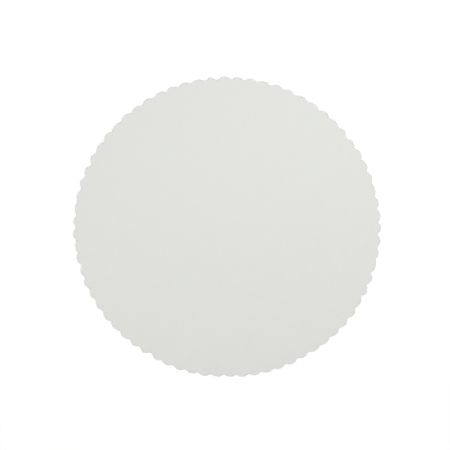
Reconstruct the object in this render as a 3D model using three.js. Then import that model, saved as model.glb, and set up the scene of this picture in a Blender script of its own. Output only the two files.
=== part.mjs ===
// Round cake board: one sheet of solid board, die-cut with a scalloped edge all round.
// Millimetres, +Z up. The origin is the centre of the underside, and a crest lies on +X.
import * as THREE from "three";

// The sheet
const boardDiameter = 300; // over opposite crests
const boardThickness = 1.5;

// The scalloped outline
const scallopPitch = 13.1; // crest to crest, brought to a whole number of scallops
const scallopDepth = 2.2; // from the crests in to the notches
const notchRadius = 3; // hollow arc between two scallops

// The cut edge in section
const faceEdgeRadius = 0.3; // where the cutting rule rolls the face over
const cutLeanDegrees = 4; // the rule's bevel leans the wall in towards the face
const undersideBevel = 0.1; // where the rule breaks out

// Facets along each arc
const scallopArcSegments = 6;
const faceEdgeSegments = 2;

const boardFinish = new THREE.MeshStandardMaterial({
  color: 0xe1e2dd,
  roughness: 0.55,
  metalness: 0,
});

function polar(distance, angle) {
  return new THREE.Vector2(
    distance * Math.cos(angle),
    distance * Math.sin(angle),
  );
}

// The outline alternates a crest arc with a hollow notch arc, and the two are tangent where they meet.
// That fixes the crest arc: its circle touches the crests' circle from inside and the notch circle from
// outside.
function scallopGeometry() {
  const crestCircle = boardDiameter / 2;
  const notchCentre = crestCircle - scallopDepth + notchRadius;
  const count = Math.round((Math.PI * boardDiameter) / scallopPitch);
  const halfPitch = Math.PI / count;
  const notchAlongCrest = notchCentre * Math.cos(halfPitch);
  const crestRadius =
    (crestCircle ** 2 +
      notchCentre ** 2 -
      2 * crestCircle * notchAlongCrest -
      notchRadius ** 2) /
    (2 * (crestCircle + notchRadius - notchAlongCrest));
  const crestCentre = crestCircle - crestRadius;
  const toNotch = polar(notchCentre, halfPitch).sub(polar(crestCentre, 0));
  return {
    count,
    halfPitch,
    notchCentre,
    crestCentre,
    crestRadius,
    crestSweep: toNotch.angle(),
  };
}

// An arc's points without its last one, which is the next arc's first.
function arcPoints(centre, radius, startAngle, endAngle) {
  const clockwise = endAngle < startAngle;
  const arc = new THREE.EllipseCurve(
    centre.x,
    centre.y,
    radius,
    radius,
    startAngle,
    endAngle,
    clockwise,
  );
  return arc.getPoints(scallopArcSegments).slice(0, -1);
}

// The outline moved in by a distance keeps its arcs' centres and sweeps: only the radii change.
function outlinePoints(scallop, inset) {
  const points = [];
  for (let i = 0; i < scallop.count; i++) {
    const crestAngle = 2 * scallop.halfPitch * i;
    const notchAngle = crestAngle + scallop.halfPitch;
    const notchSweep = scallop.crestSweep - scallop.halfPitch;
    points.push(
      ...arcPoints(
        polar(scallop.crestCentre, crestAngle),
        scallop.crestRadius - inset,
        crestAngle - scallop.crestSweep,
        crestAngle + scallop.crestSweep,
      ),
      ...arcPoints(
        polar(scallop.notchCentre, notchAngle),
        notchRadius + inset,
        notchAngle + Math.PI + notchSweep,
        notchAngle + Math.PI - notchSweep,
      ),
    );
  }
  return points;
}

// The cut edge from the underside up to the face: how far in from the outline, and how high.
// The face's rounding is tangent to the leaning wall and to the face.
function edgeSection() {
  const lean = THREE.MathUtils.degToRad(cutLeanDegrees);
  const roundHeight = boardThickness - faceEdgeRadius;
  const wallRise =
    roundHeight + faceEdgeRadius * Math.sin(lean) - undersideBevel;
  const roundInset =
    faceEdgeRadius * Math.cos(lean) + wallRise * Math.tan(lean);
  const section = [
    { inset: undersideBevel, height: 0 },
    { inset: 0, height: undersideBevel },
  ];
  for (let i = 0; i <= faceEdgeSegments; i++) {
    const angle = lean + ((Math.PI / 2 - lean) * i) / faceEdgeSegments;
    section.push({
      inset: roundInset - faceEdgeRadius * Math.cos(angle),
      height: roundHeight + faceEdgeRadius * Math.sin(angle),
    });
  }
  return section;
}

// Closes a stack of rings, each with the same number of points, into one solid with a flat cap at each end.
function loft(rings, heights) {
  const ringSize = rings[0].length;
  const topRing = (rings.length - 1) * ringSize;
  const positions = rings.flatMap((ring, level) =>
    ring.flatMap((point) => [point.x, point.y, heights[level]]),
  );
  const triangles = [];
  for (let lower = 0; lower < topRing; lower += ringSize) {
    for (let i = 0; i < ringSize; i++) {
      const a = lower + i;
      const b = lower + ((i + 1) % ringSize);
      triangles.push(a, b, b + ringSize);
      triangles.push(a, b + ringSize, a + ringSize);
    }
  }
  for (const [a, b, c] of THREE.ShapeUtils.triangulateShape(rings[0], [])) {
    triangles.push(c, b, a);
  }
  for (const [a, b, c] of THREE.ShapeUtils.triangulateShape(
    rings.at(-1),
    [],
  )) {
    triangles.push(topRing + a, topRing + b, topRing + c);
  }
  const geometry = new THREE.BufferGeometry();
  geometry.setAttribute(
    "position",
    new THREE.Float32BufferAttribute(positions, 3),
  );
  geometry.setIndex(triangles);
  geometry.computeVertexNormals();
  return geometry;
}

function makeBoard() {
  const scallop = scallopGeometry();
  const section = edgeSection();
  const rings = section.map(({ inset }) => outlinePoints(scallop, inset));
  const heights = section.map(({ height }) => height);
  const board = new THREE.Mesh(loft(rings, heights), boardFinish);
  board.name = "board";
  return board;
}

const cakeBoard = new THREE.Group();
cakeBoard.add(makeBoard());

export default cakeBoard;
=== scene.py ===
import bmesh
import bpy
import math
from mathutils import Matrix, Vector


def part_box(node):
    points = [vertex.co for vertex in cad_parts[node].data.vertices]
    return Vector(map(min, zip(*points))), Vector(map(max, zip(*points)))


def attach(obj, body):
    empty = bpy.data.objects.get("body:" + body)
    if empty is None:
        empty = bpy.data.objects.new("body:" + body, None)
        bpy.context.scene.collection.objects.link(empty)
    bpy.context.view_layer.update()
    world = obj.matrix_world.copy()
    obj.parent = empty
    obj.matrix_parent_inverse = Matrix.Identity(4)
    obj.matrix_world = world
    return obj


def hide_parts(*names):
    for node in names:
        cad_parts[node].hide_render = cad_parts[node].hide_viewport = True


# A round cake board of plain white solid board with a scalloped edge, lying face up. Metres.

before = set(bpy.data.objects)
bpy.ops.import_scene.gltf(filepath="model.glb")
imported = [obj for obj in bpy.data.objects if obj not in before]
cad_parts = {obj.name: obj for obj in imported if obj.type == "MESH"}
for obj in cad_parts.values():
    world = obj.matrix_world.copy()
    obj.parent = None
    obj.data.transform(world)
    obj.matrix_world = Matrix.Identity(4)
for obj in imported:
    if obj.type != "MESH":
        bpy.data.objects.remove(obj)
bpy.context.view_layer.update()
boardLow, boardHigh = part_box("board")

# Camera, over the board and a little past its middle, looking back down at it

cameraSetup = {
    "location": (0.0276, 0.2471, 1.1464),
    "rotation": (-11.9, 1.222, -1.149),  # degrees
    "lens": 96.5,  # millimetres
    "sensor": 36.0,  # millimetres
}


def addCamera(setup):
    bpy.ops.object.camera_add(
        location=setup["location"],
        rotation=[math.radians(angle) for angle in setup["rotation"]],
    )
    camera = bpy.context.object
    camera.name = "photoCamera"
    camera.data.lens = setup["lens"]
    camera.data.sensor_width = setup["sensor"]
    bpy.context.scene.camera = camera
    print("camera: over the board")


addCamera(cameraSetup)

# The board's shape

boardSetup = {
    "scallops": 72,
    "crestRadius": 0.1494,  # leaves room in the 300 mm for the crests that stand out
    "scallopDepth": 0.0022,  # crest to notch
    "notchRadius": 0.003,
    "crestSegments": 20,
    "notchSegments": 12,
    "wallLean": 0.0001,  # how far the rule's bevel leans the cut wall in, at the face
    "faceEdgeRadius": 0.0003,  # the rolled edge round the face
    "faceEdgeSegments": 4,
    "undersideBevel": 0.0001,
    "supportWidth": 0.0007,  # ring that keeps each side flat up to its edge
    "rimWidth": 0.0013,  # band along the cut, over which the painted rim shade fades out
    "patchRadius": 0.139,  # round patch of even squares in the middle of each side
    "patchSides": 144,
    "fibreSize": 0.003,  # length of the wobble that the fibres leave in the cut
    "fibreAmount": 0.0008,
    "fibreDetail": {"X": 2, "Y": 3},  # unlike, so that the wobble along X isn't the one along Y
    "rimAngle": 60,  # degrees between two faces, past which the edge between them is the sheet's rim
    "smoothAngle": 40,  # degrees between two faces, up to which they are shaded as one
}

roundProfile = 0.5  # a bevel's profile at which it is round
hair = 0.00001  # within which two places count as the same

# Where the scallops stand off their even pitch: degrees from +X, millimetres round,
# and how many millimetres of edge to each side move with them
pitchDrift = [
    (18, 0.6, 50),
    (49, -0.2, 20),
    (62, 0.3, 25),
    (93, -0.25, 30),
    (107, -0.95, 90),
    (129, -0.25, 40),
    (174, 1.0, 70),
    (208, -0.45, 30),
    (228, 0.4, 25),
    (288, -0.45, 45),
    (320, 0.3, 35),
    (353, 0.85, 45),
]

# Where the cut edge strays most from an even scallop: degrees from +X, millimetres out,
# and how many millimetres of edge to each side move with it
edgeWear = [
    (15.5, -0.7, 7),
    (38, -0.8, 5),
    (49, 0.55, 6),
    (57.5, 0.5, 5),
    (69, 0.5, 12),
    (77, 0.6, 6),
    (90, 0.4, 6),
    (93, -0.5, 6),
    (108.5, 0.3, 10),
    (124.5, -0.45, 10),
    (135, -0.5, 6),
    (152.5, -1.1, 5),
    (155, 0.4, 4),
    (160, 0.5, 5),
    (167.5, 0.8, 6),
    (175, 0.3, 5),
    (180, 0.6, 8),
    (185, -0.4, 5),
    (188, 0.5, 6),
    (192.5, -0.3, 5),
    (200, 0.5, 6),
    (231, -0.7, 32),
    (238, -1.6, 8),
    (264, -0.6, 7),
    (268, -0.4, 28),
    (269, -0.7, 7),
    (288, 0.4, 7),
    (299, -0.4, 9),
    (302, -0.6, 5),
    (307, 0.5, 7),
    (320, 0.8, 36),
    (326, 0.6, 8),
    (335, 0.5, 8),
    (340, 0.3, 5),
    (347.5, 0.5, 5),
    (358, -0.6, 7),
]


def selectVertices(isWanted):
    bpy.ops.mesh.select_mode(type="VERT")
    bpy.ops.mesh.select_all(action="DESELECT")
    mesh = bpy.context.object.data
    edited = bmesh.from_edit_mesh(mesh)
    for vertex in edited.verts:
        if isWanted(vertex.co):
            vertex.select_set(True)
    edited.select_flush_mode()
    bmesh.update_edit_mesh(mesh)


def degreesRound(co):
    return math.degrees(math.atan2(co.y, co.x)) % 360


def scallopCorners(setup):
    # Each scallop's two arcs touch. These are the distances of the corners that the shared tangent lines
    # would meet in, and how far each corner's rounding reaches along those lines
    crestRadius = setup["crestRadius"]
    notchArc = setup["notchRadius"]
    notchCentre = crestRadius - setup["scallopDepth"] + notchArc
    halfPitch = math.pi / setup["scallops"]
    along = notchCentre * math.cos(halfPitch)
    crestArc = (crestRadius**2 + notchCentre**2 - 2 * crestRadius * along - notchArc**2) / (
        2 * (crestRadius + notchArc - along)
    )
    crestCentre = crestRadius - crestArc
    sweep = math.atan2(notchCentre * math.sin(halfPitch), along - crestCentre)
    notchSweep = sweep - halfPitch
    return {
        "crest": crestCentre + crestArc / math.cos(sweep),
        "notch": notchCentre - notchArc / math.cos(notchSweep),
        "crestReach": crestArc * math.tan(sweep),
        "notchReach": notchArc * math.tan(notchSweep),
    }


def cutBlank(setup):
    # A flat star of corners, every second one drawn in, and each corner rounded
    corners = scallopCorners(setup)
    undersideLevel = boardLow.z
    bpy.ops.object.select_all(action="DESELECT")
    bpy.ops.mesh.primitive_circle_add(
        vertices=2 * setup["scallops"],
        radius=corners["crest"],
        fill_type="NGON",
        location=(0, 0, undersideLevel),
    )
    board = bpy.context.object
    board.name = "cakeBoard"
    halfPitch = 180 / setup["scallops"]

    def isNotch(co):
        return round(degreesRound(co) / halfPitch) % 2 == 1

    bpy.ops.object.mode_set(mode="EDIT")
    selectVertices(isNotch)
    drawIn = corners["notch"] / corners["crest"]
    bpy.ops.transform.resize(value=(drawIn, drawIn, 1), center_override=(0, 0, undersideLevel))
    selectVertices(lambda co: not isNotch(co))
    bpy.ops.mesh.bevel(
        affect="VERTICES",
        offset=corners["crestReach"],
        segments=setup["crestSegments"],
        profile=roundProfile,
    )
    flank = 0.98  # leaves a short straight between the two roundings
    selectVertices(lambda co: abs(co.xy.length - corners["notch"]) < hair)
    bpy.ops.mesh.bevel(
        affect="VERTICES",
        offset=flank * corners["notchReach"],
        segments=setup["notchSegments"],
        profile=roundProfile,
    )
    bpy.ops.object.mode_set(mode="OBJECT")
    print("board: outline cut,", len(board.data.vertices), "points")
    return board


def pullEdge(angle, out, along, reach):
    # The edge near one angle moves out and round, in millimetres, and less and less up to the reach
    millimetresInMetre = 1000
    pickWidth = 0.3  # degrees to each side of the angle, within which the points are taken hold of
    ray = math.radians(angle)
    shiftX = (out * math.cos(ray) - along * math.sin(ray)) / millimetresInMetre
    shiftY = (out * math.sin(ray) + along * math.cos(ray)) / millimetresInMetre
    selectVertices(lambda co: abs((degreesRound(co) - angle + 180) % 360 - 180) < pickWidth)
    bpy.ops.transform.translate(
        value=(shiftX, shiftY, 0),
        use_proportional_edit=True,
        proportional_edit_falloff="SMOOTH",
        proportional_size=reach / millimetresInMetre,
    )


def wearEdge(drift, wear):
    bpy.ops.object.mode_set(mode="EDIT")
    for angle, along, reach in drift:
        pullEdge(angle, 0, along, reach)
    for angle, out, reach in wear:
        pullEdge(angle, out, 0, reach)
    bpy.ops.object.mode_set(mode="OBJECT")
    print("board: edge shifted at", len(drift) + len(wear), "places")


def fillBlank(board, setup):
    # Rings that follow the outline, then a round patch of squares bridged to them
    undersideLevel = boardLow.z
    flat = board.vertex_groups.new(name="flat")
    bpy.ops.object.mode_set(mode="EDIT")
    bpy.ops.mesh.select_all(action="SELECT")
    bpy.ops.mesh.inset(thickness=setup["supportWidth"])
    bpy.ops.mesh.inset(thickness=setup["rimWidth"])
    board.vertex_groups.active = flat
    bpy.ops.object.vertex_group_assign()
    bpy.ops.mesh.delete(type="ONLY_FACE")
    bpy.ops.mesh.primitive_circle_add(
        vertices=setup["patchSides"],
        radius=setup["patchRadius"],
        fill_type="NOTHING",
        location=(0, 0, undersideLevel),
    )
    bpy.ops.object.vertex_group_assign()
    bpy.ops.object.vertex_group_select()
    bpy.ops.mesh.select_mode(type="EDGE")
    bpy.ops.mesh.bridge_edge_loops()
    inPatch = setup["patchRadius"] + hair
    selectVertices(lambda co: co.xy.length < inPatch)
    bpy.ops.mesh.fill_grid(span=setup["patchSides"] // 4)  # each quarter of the circle is one side
    bpy.ops.object.vertex_group_assign()
    bpy.ops.mesh.select_all(action="SELECT")
    bpy.ops.mesh.normals_make_consistent(inside=False)
    bpy.ops.object.mode_set(mode="OBJECT")


def selectRim(setup, height):
    # The sharp edges round one side
    bpy.ops.mesh.select_mode(type="EDGE")
    bpy.ops.mesh.select_all(action="DESELECT")
    bpy.ops.mesh.edges_select_sharp(sharpness=math.radians(setup["rimAngle"]))
    mesh = bpy.context.object.data
    edited = bmesh.from_edit_mesh(mesh)
    for edge in edited.edges:
        if edge.select and abs(edge.verts[0].co.z - height) > hair:
            edge.select_set(False)
    bmesh.update_edit_mesh(mesh)


def raiseBoard(setup):
    # Thickness, the leaning cut wall, the rolled edge of the face and the broken edge underneath
    bpy.ops.object.mode_set(mode="EDIT")
    bpy.ops.mesh.select_all(action="SELECT")
    thickness = boardHigh.z - boardLow.z
    bpy.ops.mesh.extrude_region_move(TRANSFORM_OT_translate={"value": (0, 0, thickness)})
    lean = 1 - setup["wallLean"] / setup["crestRadius"]
    bpy.ops.transform.resize(value=(lean, lean, 1), center_override=(0, 0, boardHigh.z))
    bpy.ops.mesh.select_all(action="SELECT")
    bpy.ops.mesh.normals_make_consistent(inside=False)
    selectRim(setup, boardHigh.z)
    bpy.ops.mesh.bevel(
        affect="EDGES",
        offset=setup["faceEdgeRadius"],
        segments=setup["faceEdgeSegments"],
        profile=roundProfile,
    )
    selectRim(setup, boardLow.z)
    bpy.ops.mesh.bevel(affect="EDGES", offset=setup["undersideBevel"], segments=1)
    bpy.ops.object.mode_set(mode="OBJECT")


def roughenCut(board, setup):
    # The cut wanders a little, so the whole edge moves by a soft cloud in X and another in Y
    rim = board.vertex_groups.new(name="cutEdge")
    flatRadius = setup["patchRadius"] + hair
    rim.add([v.index for v in board.data.vertices if v.co.xy.length > flatRadius], 1, "ADD")
    for axis, detail in setup["fibreDetail"].items():
        cloud = bpy.data.textures.new("fibres" + axis, "CLOUDS")
        cloud.noise_scale = setup["fibreSize"]
        cloud.noise_depth = detail
        shift = board.modifiers.new("fibres" + axis, "DISPLACE")
        shift.texture = cloud
        shift.texture_coords = "LOCAL"
        shift.direction = axis
        shift.strength = setup["fibreAmount"]
        shift.vertex_group = "cutEdge"
        bpy.ops.object.modifier_apply(modifier=shift.name)
        bpy.data.textures.remove(cloud)


def addRimMask(board):
    # Painted rim shade: 1 along the cut edge, falling to 0 over the band next to it
    flat = board.vertex_groups["flat"].index
    mask = board.data.attributes.new("rim", "FLOAT", "POINT")
    for vertex in board.data.vertices:
        isFlat = any(group.group == flat for group in vertex.groups)
        mask.data[vertex.index].value = 0.0 if isFlat else 1.0
    board.vertex_groups.clear()


board = cutBlank(boardSetup)
wearEdge(pitchDrift, edgeWear)
fillBlank(board, boardSetup)
raiseBoard(boardSetup)
roughenCut(board, boardSetup)
addRimMask(board)
bpy.ops.object.shade_smooth_by_angle(angle=math.radians(boardSetup["smoothAngle"]))
print("board: modelled,", len(board.data.polygons), "faces")

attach(board, "root")
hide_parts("board")

# Materials: the coated face, the plain underside and the cut through the board

halfway = 0.5  # a noise's mean, and the tone between a finish's dark and its light


def paint(red, green, blue):
    # A colour as it is seen on screen, 0 to 255, turned by the sRGB curve into the scene's linear light
    def linear(level):
        share = level / 255
        return share / 12.92 if share <= 0.04045 else ((share + 0.055) / 1.055) ** 2.4

    return (linear(red), linear(green), linear(blue), 1)


def newGroup(name, inputs, outputs):
    group = bpy.data.node_groups.new(name, "ShaderNodeTree")
    for socketName, value in inputs.items():
        kind = "NodeSocketVector" if isinstance(value, tuple) else "NodeSocketFloat"
        socket = group.interface.new_socket(name=socketName, in_out="INPUT", socket_type=kind)
        socket.default_value = value
    for socketName in outputs:
        group.interface.new_socket(name=socketName, in_out="OUTPUT", socket_type="NodeSocketFloat")
    return group, group.nodes.new("NodeGroupInput"), group.nodes.new("NodeGroupOutput")


def addMath(nodes, operation, first, second, links):
    node = nodes.new("ShaderNodeMath")
    node.operation = operation
    for socket, value in zip(node.inputs, (first, second)):
        if isinstance(value, (int, float)):
            socket.default_value = value
        else:
            links.new(value, socket)
    return node.outputs[0]


def addNoise(group, place, size, detail):
    # Soft noise about zero, with blotches of about the given size in metres
    noise = group.nodes.new("ShaderNodeTexNoise")
    noise.inputs["Detail"].default_value = detail
    group.links.new(place, noise.inputs["Vector"])
    group.links.new(addMath(group.nodes, "DIVIDE", 1.0, size, group.links), noise.inputs["Scale"])
    return addMath(group.nodes, "SUBTRACT", noise.outputs[0], halfway, group.links)


def addPlace(group, stretch):
    # Where a point is on the board, drawn out along the way the fibres lie
    place = group.nodes.new("ShaderNodeVectorMath")
    place.operation = "DIVIDE"
    group.links.new(group.nodes.new("ShaderNodeTexCoord").outputs["Object"], place.inputs[0])
    group.links.new(stretch, place.inputs[1])
    return place.outputs["Vector"]


def makeFormationGroup():
    # The cloudiness of pressed fibre: broad clouds with fine flecks over them, as a mask about halfway
    group, given, result = newGroup(
        "boardFormation",
        {
            "Cloud Size": 0.012,
            "Cloud Amount": 0.8,
            "Fleck Size": 0.001,
            "Fleck Amount": 0.5,
            "Stretch": (1.0, 1.0, 1.0),
        },
        ["Tone"],
    )
    place = addPlace(group, given.outputs["Stretch"])
    clouds = addNoise(group, place, given.outputs["Cloud Size"], detail=3)
    flecks = addNoise(group, place, given.outputs["Fleck Size"], detail=2)
    clouds = addMath(group.nodes, "MULTIPLY", clouds, given.outputs["Cloud Amount"], group.links)
    flecks = addMath(group.nodes, "MULTIPLY", flecks, given.outputs["Fleck Amount"], group.links)
    tone = addMath(group.nodes, "ADD", clouds, flecks, group.links)
    tone = addMath(group.nodes, "ADD", tone, halfway, group.links)
    group.links.new(tone, result.inputs["Tone"])
    return group


def makeGrainGroup():
    # Height of the surface: fine grain on a slow ripple
    group, given, result = newGroup(
        "boardGrain",
        {
            "Grain Size": 0.0006,
            "Grain Height": 1.0,
            "Ripple Size": 0.02,
            "Ripple Height": 1.0,
            "Stretch": (1.0, 1.0, 1.0),
        },
        ["Height"],
    )
    place = addPlace(group, given.outputs["Stretch"])
    grain = addNoise(group, place, given.outputs["Grain Size"], detail=3)
    ripple = addNoise(group, place, given.outputs["Ripple Size"], detail=1)
    grain = addMath(group.nodes, "MULTIPLY", grain, given.outputs["Grain Height"], group.links)
    ripple = addMath(group.nodes, "MULTIPLY", ripple, given.outputs["Ripple Height"], group.links)
    group.links.new(addMath(group.nodes, "ADD", grain, ripple, group.links), result.inputs["Height"])
    return group


faceFinish = {
    "dark": paint(223.1, 224.3, 218.9),
    "light": paint(228.1, 229.3, 223.7),
    # Painted shade along the face's cut edge: a little darker than the face, with its level set to allow
    # for the rolled edge's real shading
    "rim": paint(223.6, 224.6, 220.8),
    "cloudSize": 0.012,
    "cloudAmount": 0.8,
    "fleckSize": 0.0004,
    "fleckAmount": 2.8,
    "fibres": (1.0, 1.6, 1.0),  # how far the pattern is drawn out along X, Y and Z
    "roughness": (0.44, 0.56),
    "grainSize": 0.0004,
    "grainHeight": 1.0,
    "rippleSize": 0.006,
    "rippleHeight": 2.0,
    "bumpDepth": 0.00006,
}

undersideFinish = {
    "dark": paint(217.0, 217.0, 209.0),
    "light": paint(226.5, 226.5, 220.0),
    # Painted shade along the cut edge underneath: a little darker than the underside
    "rim": paint(218.0, 218.0, 210.5),
    "cloudSize": 0.007,
    "cloudAmount": 0.8,
    "fleckSize": 0.0004,
    "fleckAmount": 2.0,
    "fibres": (1.0, 3.0, 1.0),
    "roughness": (0.72, 0.84),
    "grainSize": 0.0004,
    "grainHeight": 1.0,
    "rippleSize": 0.004,
    "rippleHeight": 2.0,
    "bumpDepth": 0.0001,
}

cutFinish = {
    "dark": paint(212.0, 210.0, 202.0),
    "light": paint(233.0, 232.0, 226.0),
    "cloudSize": 0.003,
    "cloudAmount": 1.5,
    "fleckSize": 0.0005,
    "fleckAmount": 1.5,
    "fibres": (1.5, 1.5, 0.12),  # streaks along the cut
    "roughness": (0.80, 0.92),
    "grainSize": 0.0004,
    "grainHeight": 1.0,
    "rippleSize": 0.002,
    "rippleHeight": 1.0,
    "bumpDepth": 0.00008,
}


def makeBoardMaterial(name, finish, formation, grain):
    material = bpy.data.materials.new(name)
    material.use_nodes = True
    nodes, links = material.node_tree.nodes, material.node_tree.links
    shader = nodes["Principled BSDF"]

    tone = nodes.new("ShaderNodeGroup")
    tone.node_tree = formation
    tone.inputs["Cloud Size"].default_value = finish["cloudSize"]
    tone.inputs["Cloud Amount"].default_value = finish["cloudAmount"]
    tone.inputs["Fleck Size"].default_value = finish["fleckSize"]
    tone.inputs["Fleck Amount"].default_value = finish["fleckAmount"]
    tone.inputs["Stretch"].default_value = finish["fibres"]

    colour = nodes.new("ShaderNodeMix")
    colour.data_type = "RGBA"
    colour.inputs["A"].default_value = finish["dark"]
    colour.inputs["B"].default_value = finish["light"]
    links.new(tone.outputs["Tone"], colour.inputs["Factor"])

    # Painted shade along the cut: the colour turns to the finish's rim tone where the rim mask is 1
    if "rim" in finish:
        rim = nodes.new("ShaderNodeAttribute")
        rim.attribute_name = "rim"
        atRim = nodes.new("ShaderNodeMix")
        atRim.data_type = "RGBA"
        links.new(rim.outputs["Fac"], atRim.inputs["Factor"])
        links.new(colour.outputs["Result"], atRim.inputs["A"])
        atRim.inputs["B"].default_value = finish["rim"]
        colour = atRim
    links.new(colour.outputs["Result"], shader.inputs["Base Color"])

    roughness = nodes.new("ShaderNodeMapRange")
    roughness.inputs["To Min"].default_value = finish["roughness"][0]
    roughness.inputs["To Max"].default_value = finish["roughness"][1]
    links.new(tone.outputs["Tone"], roughness.inputs["Value"])
    links.new(roughness.outputs["Result"], shader.inputs["Roughness"])

    height = nodes.new("ShaderNodeGroup")
    height.node_tree = grain
    height.inputs["Grain Size"].default_value = finish["grainSize"]
    height.inputs["Grain Height"].default_value = finish["grainHeight"]
    height.inputs["Ripple Size"].default_value = finish["rippleSize"]
    height.inputs["Ripple Height"].default_value = finish["rippleHeight"]
    height.inputs["Stretch"].default_value = finish["fibres"]
    bump = nodes.new("ShaderNodeBump")
    bump.inputs["Distance"].default_value = finish["bumpDepth"]
    links.new(height.outputs["Height"], bump.inputs["Height"])
    links.new(bump.outputs["Normal"], shader.inputs["Normal"])
    return material


def finishBoard(board):
    formation = makeFormationGroup()
    grain = makeGrainGroup()
    for name, finish in (
        ("coatedFace", faceFinish),
        ("plainUnderside", undersideFinish),
        ("cutFibre", cutFinish),
    ):
        board.data.materials.append(makeBoardMaterial(name, finish, formation, grain))
    rolledEdge = boardHigh.z - boardSetup["faceEdgeRadius"]
    facingDown = -0.99  # a normal's Z under which a facet belongs to the underside
    for polygon in board.data.polygons:
        if polygon.center.z > rolledEdge:
            polygon.material_index = 0
        elif polygon.normal.z < facingDown:
            polygon.material_index = 1
        else:
            polygon.material_index = 2
    print("board: face, underside and cut finished")


finishBoard(board)

# Floor, sky, a long softbox high on the right and one low beyond the far side

studioSetup = {
    "floorSize": 12.0,
    "floorGap": 0.00005,  # under the board, so that the two don't show through each other
    "floorColour": paint(245, 245, 245),
    "floorShare": 0.28,  # how much the camera sees of the lit floor, with the board's shadow
    "floorGlow": (0.76, 0.88),  # white put over that, by the board and far off, where the lamp is faint
    "floorReach": (0.3, 2.0),  # metres from the board between which the glow rises
    "skyStrength": 0.426,  # as light on the board
    "skyShown": 1.0,  # as the camera sees it, where 1 is white
}

stripSoftbox = {
    "place": (0.84, 0.335, 0.88),
    "turn": (0, 0, 20),  # degrees
    "size": (3.2, 0.10),
    "power": 9.45,  # watts
    "inGloss": True,
}

farSoftbox = {
    "place": (0.2, 2.0, 0.6),
    "turn": (-73, 0, -6),
    "size": (1.6, 0.6),
    "power": 9.8,
    "inGloss": False,  # it would glare off the face in a low view
}


def seenDirectly(nodes, links):
    # 1 for what the camera sees itself, in gloss or through something clear
    ray = nodes.new("ShaderNodeLightPath").outputs
    first = addMath(nodes, "MAXIMUM", ray["Is Camera Ray"], ray["Is Glossy Ray"], links)
    return addMath(nodes, "MAXIMUM", first, ray["Is Transmission Ray"], links)


def addFloor(setup):
    bpy.ops.object.select_all(action="DESELECT")
    floorLevel = boardLow.z - setup["floorGap"]
    bpy.ops.mesh.primitive_plane_add(size=setup["floorSize"], location=(0, 0, floorLevel))
    floor = bpy.context.object
    floor.name = "floor"
    material = bpy.data.materials.new("paleFloor")
    material.use_nodes = True
    nodes, links = material.node_tree.nodes, material.node_tree.links
    nodes.remove(nodes["Principled BSDF"])
    plain = nodes.new("ShaderNodeBsdfDiffuse")
    plain.inputs["Color"].default_value = setup["floorColour"]
    dimmed = nodes.new("ShaderNodeBsdfDiffuse")
    share = setup["floorShare"]
    dimmed.inputs["Color"].default_value = (share, share, share, 1)
    distance = nodes.new("ShaderNodeVectorMath")
    distance.operation = "LENGTH"
    links.new(nodes.new("ShaderNodeTexCoord").outputs["Object"], distance.inputs[0])
    rise = nodes.new("ShaderNodeMapRange")
    rise.inputs["From Min"].default_value, rise.inputs["From Max"].default_value = setup["floorReach"]
    rise.inputs["To Min"].default_value, rise.inputs["To Max"].default_value = setup["floorGlow"]
    links.new(distance.outputs["Value"], rise.inputs["Value"])
    glow = nodes.new("ShaderNodeEmission")
    links.new(rise.outputs["Result"], glow.inputs["Strength"])
    shown = nodes.new("ShaderNodeAddShader")
    links.new(dimmed.outputs[0], shown.inputs[0])
    links.new(glow.outputs[0], shown.inputs[1])
    mixed = nodes.new("ShaderNodeMixShader")
    links.new(seenDirectly(nodes, links), mixed.inputs[0])
    links.new(plain.outputs[0], mixed.inputs[1])
    links.new(shown.outputs[0], mixed.inputs[2])
    links.new(mixed.outputs[0], nodes["Material Output"].inputs["Surface"])
    floor.data.materials.append(material)


def addSky(setup):
    world = bpy.data.worlds.new("studioSky")
    bpy.context.scene.world = world
    world.use_nodes = True
    nodes, links = world.node_tree.nodes, world.node_tree.links
    background = nodes["Background"]
    background.inputs["Color"].default_value = (1, 1, 1, 1)
    strength = nodes.new("ShaderNodeMapRange")
    strength.inputs["To Min"].default_value = setup["skyStrength"]
    strength.inputs["To Max"].default_value = setup["skyShown"]
    links.new(seenDirectly(nodes, links), strength.inputs["Value"])
    links.new(strength.outputs["Result"], background.inputs["Strength"])


def addSoftbox(name, setup):
    rotation = [math.radians(angle) for angle in setup["turn"]]
    bpy.ops.object.light_add(type="AREA", location=setup["place"], rotation=rotation)
    lamp = bpy.context.object
    lamp.name = name
    lamp.data.shape = "RECTANGLE"
    lamp.data.size, lamp.data.size_y = setup["size"]
    lamp.data.energy = setup["power"]
    lamp.visible_glossy = setup["inGloss"]


addFloor(studioSetup)
addSky(studioSetup)
addSoftbox("stripSoftbox", stripSoftbox)
addSoftbox("farSoftbox", farSoftbox)
bpy.context.scene.view_settings.view_transform = "Standard"
print("studio: floor, sky and two softboxes")
